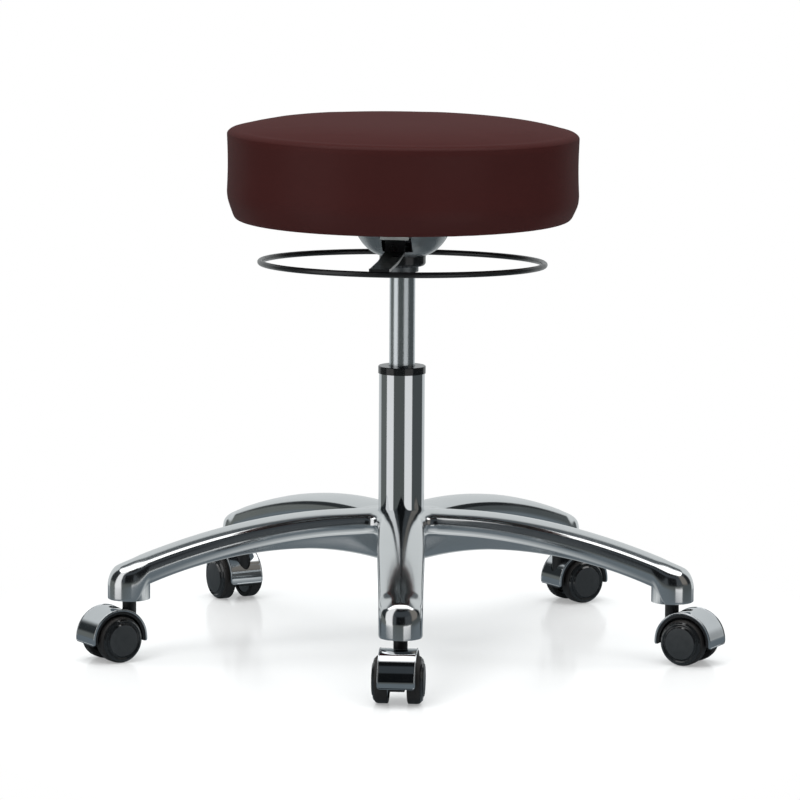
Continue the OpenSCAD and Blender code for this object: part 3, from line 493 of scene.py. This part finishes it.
# Small steel. Zinc plate is pale and satin. Tempered spring steel is dark, with a film of oil.
zinc_plate = metal("zinc_plated_steel", "#A9ACA8", "#C3C6C4", rough=(0.28, 0.38),
                   patch_mm=(9, 9, 9), grain_mm=(0.8, 0.8, 0.8), grain_depth_mm=0.01)
dress(zinc_plate, "caster_stems", "mount_screws", "tee_nuts")
dress(metal("spring_steel", "#54575A", "#6E7274", rough=(0.30, 0.42), patch_mm=(8, 8, 8),
            grain_mm=(0.7, 0.7, 0.7), grain_depth_mm=0.01), "grip_rings", "retaining_clip")

# Gas lift. A chromed outer tube with a glossy black cap, and the sliding cylinder of ground steel
# with its rod, piston, bush, bearing and clip inside, and the release pin on top.

# Hard chrome on drawn tube is a near mirror with long soft draw lines. Ground steel is brighter
# than it is sharp, with fine streaks along it. The bearing and the socket are turned, in dull rings.
dress(metal("chromed_tube", "#C9CCCF", "#D9DCDE", rough=(0.05, 0.09), patch_mm=(40, 40, 120),
            grain_mm=(9, 9, 60), grain_depth_mm=0.004), "outer_tube")
dress(metal("ground_cylinder", "#C6CDD1", "#D6DBDE", rough=(0.20, 0.26), patch_mm=(25, 25, 160),
            grain_mm=(0.5, 0.5, 60), grain_depth_mm=0.002), "pressure_cylinder")
dress(metal("ground_rod", "#A8ABAE", "#BFC2C4", rough=(0.14, 0.24), patch_mm=(10, 10, 90),
            grain_mm=(0.5, 0.5, 30), grain_depth_mm=0.002), "piston_rod", "release_pin")
dress(metal("bearing_steel", "#7B7F84", "#9A9EA2", rough=(0.18, 0.28), patch_mm=(8, 8, 2),
            grain_mm=(2, 2, 0.3), grain_depth_mm=0.004), "thrust_bearing")
dress(metal("socket_steel", "#6A6E71", "#8B8F92", rough=(0.38, 0.52), patch_mm=(14, 14, 5),
            grain_mm=(3, 3, 0.6), grain_depth_mm=0.02), "taper_socket")


def plastic(name, dark, light, rough, patch_mm, grain_mm, grain_depth_mm, gloss=0.5, coat=0.0,
            coat_rough=0.06):
    """Moulded plastic, rubber or enamel: tone and roughness wander over patches, with a fine
    moulded grain, and enamel has a clear coat over it."""
    material = metal(name, dark, light, rough, [patch_mm] * 3, [grain_mm] * 3, grain_depth_mm, bright=0.0)
    shader = material.node_tree.nodes["Principled BSDF"]
    shader.inputs["Specular IOR Level"].default_value = gloss
    shader.inputs["Coat Weight"].default_value = coat
    shader.inputs["Coat Roughness"].default_value = coat_rough
    return material


# Glossy nylon is moulded against polished steel and shows clear highlights. Acetal is milky and
# satin, the seals a dull dark grey, and rubber is matt.
dress(plastic("gloss_black_nylon", "#0B0C0E", "#141618", rough=(0.10, 0.18), patch_mm=12, grain_mm=3.0,
              grain_depth_mm=0.006), "tube_cap", "collar")
dress(plastic("bush_acetal", "#C9C4B4", "#DAD6C8", rough=(0.40, 0.52), patch_mm=15, grain_mm=0.8,
              grain_depth_mm=0.01), "guide_bush")
dress(plastic("seal_plastic", "#2A2C2E", "#3B3D40", rough=(0.42, 0.55), patch_mm=8, grain_mm=0.8,
              grain_depth_mm=0.01), "piston", "rod_gland")
dress(plastic("stop_rubber", "#141414", "#232323", rough=(0.70, 0.85), patch_mm=6, grain_mm=0.6,
              grain_depth_mm=0.03), "bump_stop")

# Casters. A chromed pressed hood with a rolled rim over a black nylon core, and two wheels, each a
# glossy black disc with stepped rings and a softer dark tread. Each has swung its own way.
caster_names = ("front", "right", "back_right", "back_left", "left")
caster_turn = stem_turn + np.radians([-4.9, -9.7, -22, -7, 14.4])
trail, axle_z, wheel_gap = 21.8, 25.0, 20.5
hood_r, hood_t, hood_half, hood_low_z, hood_corner = 32.5, 1.6, 19.9, 20.5, 3.5
bead_h, bead_half = 0.6, 0.7
groove_turn, groove_half, groove_d, groove_from_edge = 180 - 29.5, 0.65, 0.55, 2.8
slot_half, slot_end, slot_heights = 8.5, 15.75, (32.5, 75.0)
satin_r, disc_face = 16.9, 17


def at_caster(points, k):
    """Points in a caster's own frame, with X towards its axle, turned and moved to caster k."""
    c, s = math.cos(caster_turn[k]), math.sin(caster_turn[k])
    return np.stack([points[..., 0] * c - points[..., 1] * s + stem_x[k],
                     points[..., 0] * s + points[..., 1] * c + stem_y[k], points[..., 2]], axis=-1)


def eased(points, cut, steps=4):
    """Outline with its corners eased: each gives way to a parabola that starts and ends the cut
    length away along its two sides, or half the side where that is shorter. The two ends stay."""
    points = np.asarray(points, float)
    before, after = np.roll(points, 1, axis=0) - points, np.roll(points, -1, axis=0) - points
    before[0] = after[-1] = 0
    reach = [side * np.minimum(cut / np.maximum(np.linalg.norm(side, axis=1), 1e-9), 0.5)[:, None]
             for side in (before, after)]
    t = np.linspace(0, 1, steps + 1)[None, :, None]
    start, stop = (points + way for way in reach)
    curve = (1 - t) ** 2 * start[:, None] + 2 * t * (1 - t) * points[:, None] + t ** 2 * stop[:, None]
    return curve.reshape(-1, points.shape[1])


def turned(profile, steps=96):
    """Turned surface: radius and height of each profile point, carried round Z in equal steps."""
    turn = (np.arange(steps) * 2 * np.pi / steps)[:, None]
    radius, rise = np.asarray(profile, float).T
    return np.stack([radius * np.cos(turn), radius * np.sin(turn),
                     np.broadcast_to(rise, (steps, len(rise)))], axis=-1)


# The hood is a grid of turn about the axle by share of its width, with close lines where it bends.
# Its rim stands up as a half round, its lower corners are rounded, and a groove crosses it on the
# side of the stem.
low_turn = math.degrees(math.asin((hood_low_z - axle_z) / hood_r))
corner_turns = np.array([0, 0.3, 0.6, 0.95, 1.3, 1.7, 2.1, 2.5, 3.2, 4, 5, 6])
groove_turns = np.array([-1.1, -0.75, -0.6, -0.2, 0.2, 0.6, 0.75, 1.1])
hood_turn = np.unique(np.concatenate([low_turn + corner_turns, 180 - low_turn - corner_turns,
                                      groove_turn + groove_turns, np.arange(0, 181, 3.0)]))
rim_shares = np.array([0, 0.25, 0.5, 0.62, 0.74, 0.84, 0.905, 0.925, 0.94, 0.955, 0.97, 0.98, 0.99,
                       0.996, 1])
across = np.concatenate([-rim_shares[:0:-1], rim_shares])
run_up = np.radians(np.minimum(hood_turn - low_turn, 180 - low_turn - hood_turn)) * hood_r
tuck = np.clip(hood_corner - run_up, 0, hood_corner)
hood_edge = hood_half - hood_corner + np.sqrt(hood_corner ** 2 - tuck ** 2)
hood_y = hood_edge[:, None] * across
from_edge = np.minimum(hood_edge[:, None] - np.abs(hood_y), run_up[:, None])
bead = bead_h * np.sqrt(np.clip(1 - ((from_edge - bead_half) / bead_half) ** 2, 0, 1))
in_groove = (np.abs(hood_turn - groove_turn) < groove_half)[:, None]
cut_in = groove_d * in_groove * (np.abs(hood_y) < hood_half - groove_from_edge)


def hood_shell(radius):
    """Points of one face of the hood at a radius from the axle, in the caster's own frame."""
    turn = np.radians(hood_turn)[:, None]
    return np.stack([trail + radius * np.cos(turn), np.broadcast_to(hood_y, radius.shape),
                     axle_z + radius * np.sin(turn)], axis=-1)


outer_face = hood_shell(hood_r + bead - cut_in)
inner_face = hood_shell(np.full(hood_y.shape, hood_r - hood_t))
hood_points = np.hstack([outer_face, inner_face[:, ::-1]])
hood_ends = [np.hstack([face, face[:, ::-1]]) for face in (inner_face[:1], inner_face[-1:])]
hood_points = np.vstack([hood_ends[0], hood_points, hood_ends[1]])

# A slot with round ends is cut through the hood's top for the core's neck.
slot_turn = np.radians(np.linspace(-90, 90, 25))
slot_plan = np.concatenate([
    np.stack([slot_end + slot_half * np.cos(slot_turn), slot_half * np.sin(slot_turn)], axis=-1),
    np.stack([-slot_half * np.cos(slot_turn), -slot_half * np.sin(slot_turn)], axis=-1)])
slot_middle = np.broadcast_to([slot_end / 2, 0], slot_plan.shape)
slot_points = np.stack([
    np.concatenate([plan, np.full((len(plan), 1), z)], axis=1)
    for plan, z in ((slot_middle, slot_heights[0]), (slot_plan, slot_heights[0]),
                    (slot_plan, slot_heights[1]), (slot_middle, slot_heights[1]))])

# Half sections of a wheel's disc, with its stepped face, hub and axle bore, and of its tread:
# radius, and distance out from the wheel's inner face.
disc_line = eased([(0, 17.5), (9.0, 17.3), (16.8, 16.8), (18.3, 15.0), (19.4, 14.8), (20.4, 15.5),
                   (21.5, 15.3), (22.9, 13.8), (23.4, 13.5), (22.6, 13.4), (20.15, 13.4), (20.15, 0.9),
                   (7.2, 0.9), (7.2, -1.3), (3.05, -1.3), (3.05, 13.9), (0, 13.9)], 0.25)
tread_line = eased([(20.25, 13.4), (20.25, 0), (24.3, 0), (25.0, 0.7), (25.0, 9.4), (24.7, 11.6),
                    (24.0, 12.9), (23.2, 13.4), (21.2, 13.4), (20.25, 13.4)], 0.45)


def wheel_points(profile, k, side):
    """A profile of radius and distance out from the wheel's inner face, turned about the axle."""
    ring = turned(profile)
    own = np.stack([trail + ring[..., 0], side * (wheel_gap / 2 + ring[..., 2]), axle_z + ring[..., 1]],
                   axis=-1)
    return at_caster(own, k)


# Bright chrome on pressed steel is a mirror that the press has left a little wavy. The core is
# plain satin nylon. A wheel's disc is polished black nylon round a finely textured centre, and its
# tread is a matt polyurethane, a shade browner.
hood_chrome = metal("pressed_hood_chrome", "#CFD2D5", "#DDE0E2", rough=(0.04, 0.08),
                    patch_mm=(30, 30, 30), grain_mm=(9, 9, 9), grain_depth_mm=0.008)
core_nylon = plastic("black_core_nylon", "#101113", "#1A1C1E", rough=(0.38, 0.50), patch_mm=10,
                     grain_mm=0.7, grain_depth_mm=0.02)
disc_gloss = plastic("gloss_wheel_disc", "#0A0B0C", "#121314", rough=(0.07, 0.13), patch_mm=9,
                     grain_mm=4.0, grain_depth_mm=0.004, gloss=1.0)
disc_satin = plastic("satin_wheel_disc", "#232628", "#303335", rough=(0.34, 0.44), patch_mm=6,
                     grain_mm=0.7, grain_depth_mm=0.02)
tread_soft = plastic("wheel_tread", "#171616", "#211F1E", rough=(0.55, 0.70), patch_mm=7,
                     grain_mm=0.9, grain_depth_mm=0.03)
for k, name in enumerate(caster_names):
    hood = grid_mesh(f"{name}_hood", at_caster(hood_points, k), close_columns=True, sharp=30)
    slot = grid_mesh("slot_cut", at_caster(slot_points, k), close_columns=True)
    carve(hood, (slot, "DIFFERENCE"))
    hood.data.set_sharp_from_angle(angle=math.radians(30))
    hood.data.materials.clear()
    hood.data.materials.append(hood_chrome)
    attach(hood, f"{name}_caster")
    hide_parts(f"{name}_caster_hood")
    dress(core_nylon, f"{name}_caster_core")
    dress(zinc_plate, f"{name}_caster_axle")
    for side, hand in ((1, "left"), (-1, "right")):
        disc = grid_mesh(f"{name}_{hand}_disc", wheel_points(disc_line, k, side), close_rows=True, sharp=50)
        ring = grid_mesh(f"{name}_{hand}_tyre", wheel_points(tread_line, k, side), close_rows=True, sharp=50)
        disc.data.materials.append(disc_gloss)
        disc.data.materials.append(disc_satin)
        ring.data.materials.append(tread_soft)
        middles = np.empty(len(disc.data.polygons) * 3)
        disc.data.polygons.foreach_get("center", middles)
        hub = at_caster(np.array([trail, side * (wheel_gap / 2 + disc_face), axle_z]), k)
        centred = np.linalg.norm(middles.reshape(-1, 3) * 1000 - hub, axis=1) < satin_r
        disc.data.polygons.foreach_set("material_index", centred.astype(np.int32))
        for piece, node, slot_name in ((disc, "wheel", "wheel_gloss"), (ring, "tread", "wheel_tread")):
            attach(piece, f"{name}_caster_{hand}_wheel_set")
            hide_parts(f"{name}_caster_{hand}_{node}")

# Seat mount. A pressed steel bowl, painted satin grey, screwed to the board, with two windows that
# the lever's strap passes through and a folded lip over each.
bowl_out = through([(17.45, 429.1), (24.0, 429.1), (29.0, 430.2), (36.5, 434.6), (42.6, 440.4),
                    (47.0, 446.4), (50.6, 452.4), (55.0, 458.6), (60.5, 463.6), (66.5, 465.5),
                    (79.0, 465.5)], 6)
bowl_in = through([(79.4, 467.6), (66.0, 467.7), (59.0, 465.6), (53.2, 460.2), (48.8, 453.8),
                   (45.1, 447.4), (41.0, 441.8), (35.3, 436.5), (28.4, 432.4), (24.0, 431.3),
                   (17.45, 431.3)], 6)
bowl_rim = [(79.8, 466.0), (79.8, 467.2)]
bowl = grid_mesh("mount_bowl", turned(np.vstack([bowl_out, bowl_rim, bowl_in, bowl_out[:1]]), 128),
                 close_rows=True, sharp=40)
strap_turn = math.radians(9)
screw_circle_r, screw_hole_r, screw_cut = 72.0, 3.3, (460, 470)
window_half_w, window_low_z, window_top_z = 16.5, 436.1, 457.6
lip_half_w, lip_low_z, lip_in_r, lip_out_r = 17.0, 454.4, 46.5, 50.0
fold_top_z, fold_out_r, drop_half_w, drop_low_z, drop_in_r = 459.5, 57.6, 15.4, 451.4, 55.8


def lever_block(name, radii, half_w, heights):
    """Two box solids, one at each end of the strap: from one distance out to another along the strap,
    a half width to each side of its middle, and between two heights."""
    grid = np.meshgrid(radii, (-half_w, half_w), heights, indexing="ij")
    corners = np.stack(grid, axis=-1).reshape(-1, 3)
    sides = np.array([(0, 1, 3, 2), (4, 6, 7, 5), (0, 4, 5, 1), (2, 3, 7, 6), (0, 2, 6, 4), (1, 5, 7, 3)])
    ends = []
    for turn in (-math.pi / 2 - strap_turn, math.pi / 2 - strap_turn):
        c, s = math.cos(turn), math.sin(turn)
        ends.append(np.stack([corners[:, 0] * c - corners[:, 1] * s,
                              corners[:, 0] * s + corners[:, 1] * c, corners[:, 2]], axis=-1))
    return mesh_object(name, np.vstack(ends), np.vstack([sides, sides + 8]))


screw_turn = np.radians(45 + 90 * np.arange(4))
holes = round_bars("bowl_holes", [(screw_circle_r * math.cos(t), screw_circle_r * math.sin(t), *screw_cut,
                                   screw_hole_r) for t in screw_turn], 32)
windows = lever_block("windows", (25, 56), window_half_w, (window_low_z, window_top_z))
carve(bowl, (windows, "DIFFERENCE"), (holes, "DIFFERENCE"))
lips = lever_block("lever_lips", (lip_in_r, lip_out_r), lip_half_w, (lip_low_z, window_top_z))
fold = lever_block("lip_folds", (lip_in_r, fold_out_r), lip_half_w, (window_top_z, fold_top_z))
drop = lever_block("lip_drops", (drop_in_r, fold_out_r), drop_half_w, (drop_low_z, window_top_z))

# Satin grey paint over pressed steel, thin enough to shine like metal. The lips are bare plate,
# paler and duller.
bowl_steel = metal("grey_pressed_steel", "#777C7E", "#8D9294", rough=(0.20, 0.30), patch_mm=(25, 25, 25),
                   grain_mm=(1.6, 1.6, 1.6), grain_depth_mm=0.02, bright=0.85)
lip_steel = metal("plated_lip", "#B9BDBB", "#CFD2D0", rough=(0.36, 0.48), patch_mm=(6, 6, 6),
                  grain_mm=(0.8, 0.8, 0.8), grain_depth_mm=0.03, bright=0.35)
for piece, finish in ((bowl, bowl_steel), (lips, lip_steel), (fold, lip_steel), (drop, lip_steel)):
    if piece is not bowl:
        rounding = piece.modifiers.new("rounding", "BEVEL")
        rounding.width = 0.0004
        rounding.segments = 3
    piece.data.materials.clear()
    piece.data.materials.append(finish)
    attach(piece, "seat")
    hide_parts("mount_dish")

# Ring lever. Round steel wire and a flat strap across it, welded up and dipped in black enamel,
# which flows smooth and leaves soft highlights along the wire.
dress(plastic("black_enamel", "#0C0D0E", "#161719", rough=(0.26, 0.36), patch_mm=14, grain_mm=1.6,
              grain_depth_mm=0.012, coat=0.15), "lever_ring", "lever_strap")

# Seat. A birch plywood board with a stapled dust cover, under a foam pad in burgundy vinyl that is
# drawn round the edge and turned under the board.

# Raw birch is pale and open grained, and the spun cloth of the dust cover is black and quite matt.
dress(plastic("birch_plywood", "#A98A5E", "#C7A877", rough=(0.55, 0.70), patch_mm=30, grain_mm=1.5,
              grain_depth_mm=0.05), "seat_board")
dress(plastic("black_nonwoven", "#131313", "#242424", rough=(0.85, 0.95), patch_mm=4, grain_mm=0.8,
              grain_depth_mm=0.10), "dust_cover")
seat_r, seat_base, low_r, side_h, side_draw = 191.4, 468.0, 26.6, 90.7, 0.9
rim_w, rim_h, rim_from, rim_to = 11.7, 8.4, 14, 83
crown_h, crown_power, seat_lean = 11.9, 4.4, math.radians(0.6)
edge_z, hem_r = seat_base + side_h, seat_r - low_r
hem_w, hem_t = 18.0, 1.2
board_top, board_r, board_gap = 481.5, 164.8, 0.3
seam_z, seam_depth, seam_half = edge_z + 0.3, 0.55, 0.45
pleat_depth, pleats = 0.5, 46
cloth_steps, cushion_steps, middle_r = 96, 192, 0.7


def seat_line(edge_steps, crown_steps):
    """The cushion's outline from its underside to the middle of its top: a tight turn under the edge
    and a slant, a side that draws in a little, most of a quarter of an ellipse over the seam, and a
    crown that is nearly flat in the middle and falls as a power of the radius."""
    low = through([(168.0, seat_base), (174.5, 468.05), (179.0, 468.5), (182.4, 469.9), (184.4, 472.6),
                   (186.0, 476.2), (188.0, 481.0), (189.8, 486.0), (190.9, 490.8), (seat_r, 496.5)], 3)
    s = np.linspace(0, 1, 13)[1:-1]
    side = np.stack([seat_r - side_draw * np.sin(np.pi * s), blend_to(low[-1, 1], edge_z, s)], axis=-1)
    a = np.radians(np.linspace(rim_from, rim_to, edge_steps + 1))
    edge = np.stack([seat_r - rim_w * (np.cos(a[0]) - np.cos(a)),
                     edge_z + rim_h * (np.sin(a) - np.sin(a[0]))], axis=-1)
    s = np.linspace(1, 0.004, crown_steps + 1)[1:]
    crown = np.stack([s * edge[-1, 0], edge[-1, 1] + crown_h * (1 - s ** crown_power)], axis=-1)
    return np.vstack([[(hem_r - hem_w, seat_base), (hem_r - hem_w / 2, seat_base)], low, side, edge, crown])


def cloth_puff(line, steps, start_in, cap):
    """How far the foam presses the vinyl out, in millimetres, outward, round and up for each point of
    the turned outline: a cloth that starts a little inside is inflated while its hem and its middle
    are held. The even part of the moves and their waves shorter than a seventh of the way round are
    left out, and so are all moves near the middle."""
    inside = line - [[start_in, 0]] * (line[:, :1] > hem_r)
    rest = turned(inside, steps)
    index = np.arange(steps * len(line)).reshape(steps, len(line))
    index = np.vstack([index, index[:1]])
    quads = np.stack([index[:-1, :-1], index[1:, :-1], index[1:, 1:], index[:-1, 1:]], axis=-1)
    mesh = bpy.data.meshes.new("cushion_cloth")
    mesh.from_pydata((rest.reshape(-1, 3) * 0.001).tolist(), [], quads.reshape(-1, 4).tolist())
    cloth = bpy.data.objects.new("cushion_cloth", mesh)
    bpy.context.collection.objects.link(cloth)
    held = cloth.vertex_groups.new(name="held")
    still = np.tile((line[:, 1] < seat_base + 0.4) | (line[:, 0] < 6), steps)
    held.add(np.flatnonzero(still).tolist(), 1.0, "REPLACE")
    cover = cloth.modifiers.new("cloth", "CLOTH")
    cover.settings.use_pressure = True
    cover.settings.uniform_pressure_force = 4
    cover.settings.quality = 6
    cover.settings.tension_stiffness = cover.settings.compression_stiffness = 25
    cover.settings.bending_stiffness = 3
    cover.settings.vertex_group_mass = "held"
    cover.settings.effector_weights.gravity = 0
    cover.collision_settings.use_collision = False
    for moment in range(1, 21):
        bpy.context.scene.frame_set(moment)
    settled = cloth.evaluated_get(bpy.context.evaluated_depsgraph_get()).to_mesh()
    moved = np.empty(len(settled.vertices) * 3)
    settled.vertices.foreach_get("co", moved)
    bpy.context.scene.frame_set(1)
    bpy.data.objects.remove(cloth)
    move = moved.reshape(rest.shape) * 1000 - rest
    turn = (np.arange(steps) * 2 * np.pi / steps)[:, None]
    own = np.stack([move[..., 0] * np.cos(turn) + move[..., 1] * np.sin(turn),
                    move[..., 1] * np.cos(turn) - move[..., 0] * np.sin(turn), move[..., 2]], axis=-1)
    waves = np.fft.rfft(own - own.mean(axis=0), axis=0)
    waves[8:] = 0
    own = np.fft.irfft(waves, steps, axis=0) * ease((line[:, 0] - 60) / 100)[:, None]
    size = np.linalg.norm(own, axis=-1, keepdims=True)
    return own * np.minimum(1, cap / np.maximum(size, 1e-9))


def cushion_points(outline, moves, steps):
    """Points of the turned outline with the cloth's moves on it, which are taken straight between its
    columns, and then a lean to the right, as the photographed seat has."""
    column = np.arange(steps) * len(moves) / steps
    first = column.astype(int)
    part = (column - first)[:, None, None]
    move = moves[first] * (1 - part) + moves[(first + 1) % len(moves)] * part
    turn = (np.arange(steps) * 2 * np.pi / steps)[:, None]
    radius, rise = outline[:, 0] + move[..., 0], outline[:, 1] + move[..., 2]
    sway = move[..., 1]
    points = np.stack([radius * np.cos(turn) - sway * np.sin(turn),
                       radius * np.sin(turn) + sway * np.cos(turn), rise], axis=-1)
    points[..., 2] -= points[..., 0] * math.tan(seat_lean) * ease((rise - seat_base) / 20)
    return points


outline = seat_line(edge_steps=18, crown_steps=46)
moves = cloth_puff(outline, cloth_steps, start_in=1.2, cap=0.2)

# The seam draws the vinyl in on one line round the top edge, and the hem lies in shallow pleats
# under the board. The foam's side of the cushion is a plain recess for the board.
seam = seam_depth * np.exp(-((outline[:, 1] - seam_z) / seam_half) ** 2) * (outline[:, 0] > seat_r - rim_w)
pleat = pleat_depth * np.interp(outline[:, 0], [hem_r - hem_w, 156, 172, 179], [0.2, 1, 1, 0])
pleat = pleat * (outline[:, 1] < seat_base + 1)
around = np.arange(cushion_steps) * 2 * np.pi / cushion_steps
skin = cushion_points(outline - np.stack([seam, np.zeros_like(seam)], axis=-1), moves, cushion_steps)
skin[..., 2] += pleat * (1 + np.sin(pleats * around + 0.7 * np.sin(5 * around)))[:, None]
back = turned([(middle_r, board_top + board_gap), (board_r + board_gap, board_top + board_gap),
               (board_r + board_gap, seat_base + hem_t), (hem_r - hem_w, seat_base + hem_t)], cushion_steps)
poles = [np.broadcast_to(loop.mean(axis=0), loop.shape) for loop in (back[:, :1], skin[:, -1:])]
cushion = grid_mesh("seat_cushion", np.concatenate([poles[0], back, skin, poles[1]], axis=1),
                    close_rows=True, sharp=60)
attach(cushion, "seat")
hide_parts("seat_cover", "foam_pad")

# Calendered vinyl on knitted cloth: an even, deep colour with a low sheen that widens every
# highlight. Its leather grain is finer than a pixel, and is drawn 1.1 mm wide so that it shows.
cushion.data.materials.append(plastic("burgundy_vinyl", "#331716", "#361918", rough=(0.45, 0.55),
                                      patch_mm=40, grain_mm=1.1, grain_depth_mm=0.02, gloss=0.0,
                                      coat=0.14, coat_rough=0.36))
